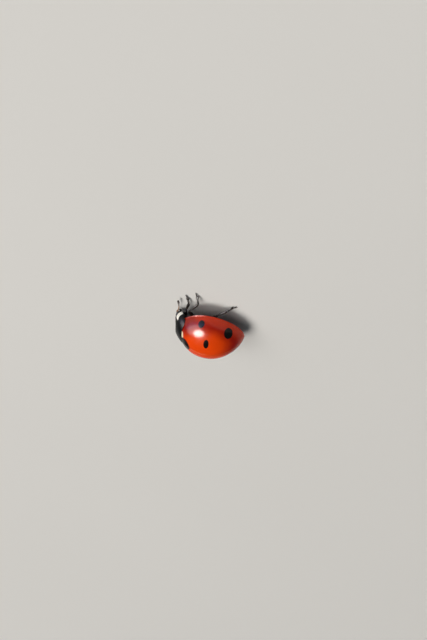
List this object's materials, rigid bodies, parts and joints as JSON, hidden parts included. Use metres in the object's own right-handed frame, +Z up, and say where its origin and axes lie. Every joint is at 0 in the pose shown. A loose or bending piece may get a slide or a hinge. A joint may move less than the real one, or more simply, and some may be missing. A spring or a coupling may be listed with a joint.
{
  "type": "seven-spot ladybird model",
  "caption": "Life-size still model of a seven-spot ladybird standing on its feet, wing cases closed, head tucked under the neck shield.",
  "frame": {"origin": "on the floor, under the middle of the outline", "axes": "+Z up, the head looks towards -Y, the animal's left is +X"},
  "size_m": [0.0078, 0.0068, 0.004],
  "materials": {
    "wing_case": "glossy orange-red hard shell with round black spots",
    "neck_shield": "glossy black hard shell with a white patch at each front corner",
    "black_cuticle": "glossy black hard shell",
    "underside": "black shell, dulled by short fine hairs",
    "leg": "black shell, softly shining, short hairs",
    "brown_cuticle": "yellow-brown to dark brown shell",
    "eye": "black, finely faceted, glossy"
  },
  "bodies": {
    "root": {"head": "black_cuticle", "eye_left": "eye", "eye_right": "eye", "labrum": "black_cuticle", "mandible_left": "brown_cuticle", "mandible_right": "brown_cuticle", "palp_left": "brown_cuticle", "palp_right": "brown_cuticle", "antenna_left": "brown_cuticle", "antenna_right": "brown_cuticle", "pronotum": "neck_shield", "prothorax": "underside", "scutellum": "black_cuticle", "elytron_left": "wing_case", "elytron_right": "wing_case", "thorax": "underside", "abdomen": "underside", "coxa_fore_left": "leg", "femur_fore_left": "leg", "tibia_fore_left": "leg", "tarsus_fore_left": "leg", "coxa_fore_right": "leg", "femur_fore_right": "leg", "tibia_fore_right": "leg", "tarsus_fore_right": "leg", "coxa_mid_left": "leg", "femur_mid_left": "leg", "tibia_mid_left": "leg", "tarsus_mid_left": "leg", "coxa_mid_right": "leg", "femur_mid_right": "leg", "tibia_mid_right": "leg", "tarsus_mid_right": "leg", "coxa_hind_left": "leg", "femur_hind_left": "leg", "tibia_hind_left": "leg", "tarsus_hind_left": "leg", "coxa_hind_right": "leg", "femur_hind_right": "leg", "tibia_hind_right": "leg", "tarsus_hind_right": "leg"}
  },
  "joints": []
}
